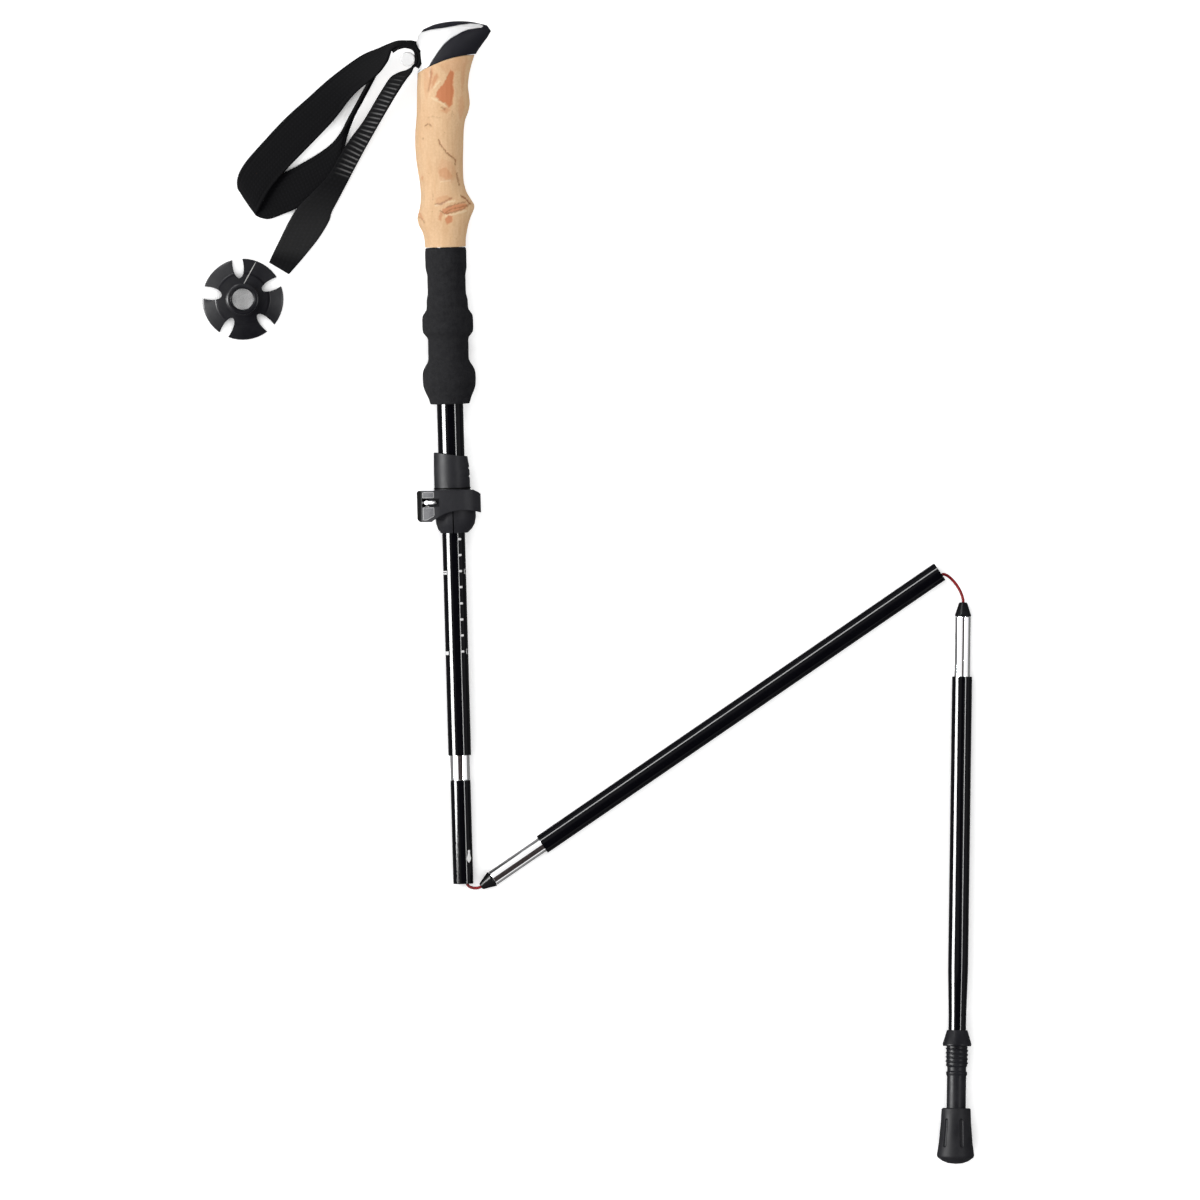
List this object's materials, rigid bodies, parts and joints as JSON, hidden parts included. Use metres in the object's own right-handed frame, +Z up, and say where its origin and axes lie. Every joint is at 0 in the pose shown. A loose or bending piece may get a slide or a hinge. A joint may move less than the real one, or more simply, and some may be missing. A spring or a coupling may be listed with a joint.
{
  "type": "trail running pole",
  "caption": "Folding trail running pole laid open in a zigzag, with a cork and foam grip, wrist strap, flip lock, tension cord, rubber tip and a loose basket.",
  "frame": {"origin": "middle of the box round the whole pole as it lies, at the ground", "axes": "+X to the right and +Y up the picture towards the pole's head, both along the ground; +Z up from the ground"},
  "size_m": [0.4814, 0.7122, 0.04],
  "materials": {
    "gloss_black_lacquer": "gloss black lacquer on aluminium tube",
    "bare_aluminium": "bright drawn aluminium",
    "steel": "plain steel",
    "lock_plastic": "dark grey moulded nylon, satin",
    "tip_plastic": "dark grey moulded nylon, satin",
    "white_plastic": "white moulded plastic",
    "soft_touch_black": "black soft-touch moulding",
    "bush_plastic": "plain grey nylon",
    "cork": "natural pressed cork",
    "foam": "black closed-cell foam, matte",
    "rubber": "dark grey moulded rubber",
    "webbing": "black woven polyester",
    "cord_sheath": "red braided sheath"
  },
  "bodies": {
    "grip": {"head_core": "white_plastic", "head_cover": "soft_touch_black", "strap_pin": "steel", "strap_bush": "white_plastic", "cork_grip": "cork", "foam_grip": "foam", "upper_tube": "gloss_black_lacquer", "lock_body": "lock_plastic", "lock_bolt": "steel", "lock_nut": "steel", "lever_pin": "steel"},
    "lever": {"lock_lever": "lock_plastic"},
    "strap": {"strap_pad": "webbing", "strap_webbing": "webbing"},
    "scale": {"scale_tube": "gloss_black_lacquer", "scale_tube_bush": "bush_plastic"},
    "slider": {"slider_tube": "bare_aluminium", "slider_plug": "bush_plastic", "cord_stop": "steel", "socket_tube": "gloss_black_lacquer", "button_spring": "steel", "cord_upper": "cord_sheath", "cord_fold_1": "cord_sheath"},
    "button": {"snap_button": "steel"},
    "middle": {"middle_cone": "tip_plastic", "middle_insert": "bare_aluminium", "middle_tube": "gloss_black_lacquer", "cord_middle": "cord_sheath", "cord_fold_2": "cord_sheath"},
    "lower": {"lower_cone": "tip_plastic", "lower_insert": "bare_aluminium", "lower_tube": "gloss_black_lacquer", "spring_plug": "bush_plastic", "tension_spring": "steel", "cord_lower": "cord_sheath", "tip_holder": "tip_plastic", "carbide_tip": "steel"},
    "crimp": {"cord_crimp": "steel"},
    "tip_cap": {"rubber_tip": "rubber"},
    "basket": {"basket": "tip_plastic"}
  },
  "joints": [
    {"name": "length_slide", "type": "slide", "parent": "grip", "child": "scale", "axis": [0.0277, -0.9991, -0.0327], "range_m": [-0.073, 0.126]},
    {"name": "tension_slide", "type": "slide", "parent": "scale", "child": "slider", "axis": [0.0277, -0.9991, -0.0327], "range_m": [-0.015, 0.03]},
    {"name": "button_press", "type": "slide", "parent": "slider", "child": "button", "axis": [-0.0009, 0.0327, -0.9995], "range_m": [0, 0.0012], "stiffness_N_per_m": 400, "springref_m": -0.002, "deforming": ["button_spring"]},
    {"name": "lever_swing", "type": "hinge", "parent": "grip", "child": "lever", "pos_m": [-0.10317, 0.05454, 0.02396], "axis": [0.0277, -0.9991, -0.0327], "range_deg": [0, 120]},
    {"name": "fold_1", "type": "hinge", "parent": "slider", "child": "middle", "pos_m": [-0.0726, -0.1809, 0.0063], "axis": [0, 0, 1], "range_deg": [-122.9, 48], "deforming": ["cord_fold_1"]},
    {"name": "fold_2", "type": "hinge", "parent": "middle", "child": "lower", "pos_m": [0.2243, 0.0044, 0.0063], "axis": [0, 0, 1], "range_deg": [-53, 125.3], "deforming": ["cord_fold_2"]},
    {"name": "crimp_slide", "type": "slide", "parent": "lower", "child": "crimp", "axis": [0.0141, 0.9997, -0.0183], "range_m": [0, 0.022], "stiffness_N_per_m": 300, "deforming": ["tension_spring"]},
    {"name": "tip_pull", "type": "slide", "parent": "lower", "child": "tip_cap", "axis": [-0.0141, -0.9997, 0.0183], "range_m": [0, 0.035]},
    {"name": "strap_swing", "type": "hinge", "parent": "grip", "child": "strap", "pos_m": [-0.11247, 0.33206, 0.0231], "axis": [0, 0, 1], "range_deg": [-40, 2]},
    {"name": "basket_lift", "type": "slide", "parent": "grip", "child": "basket", "axis": [0, 0, 1], "range_m": [0, 0.05]}
  ]
}
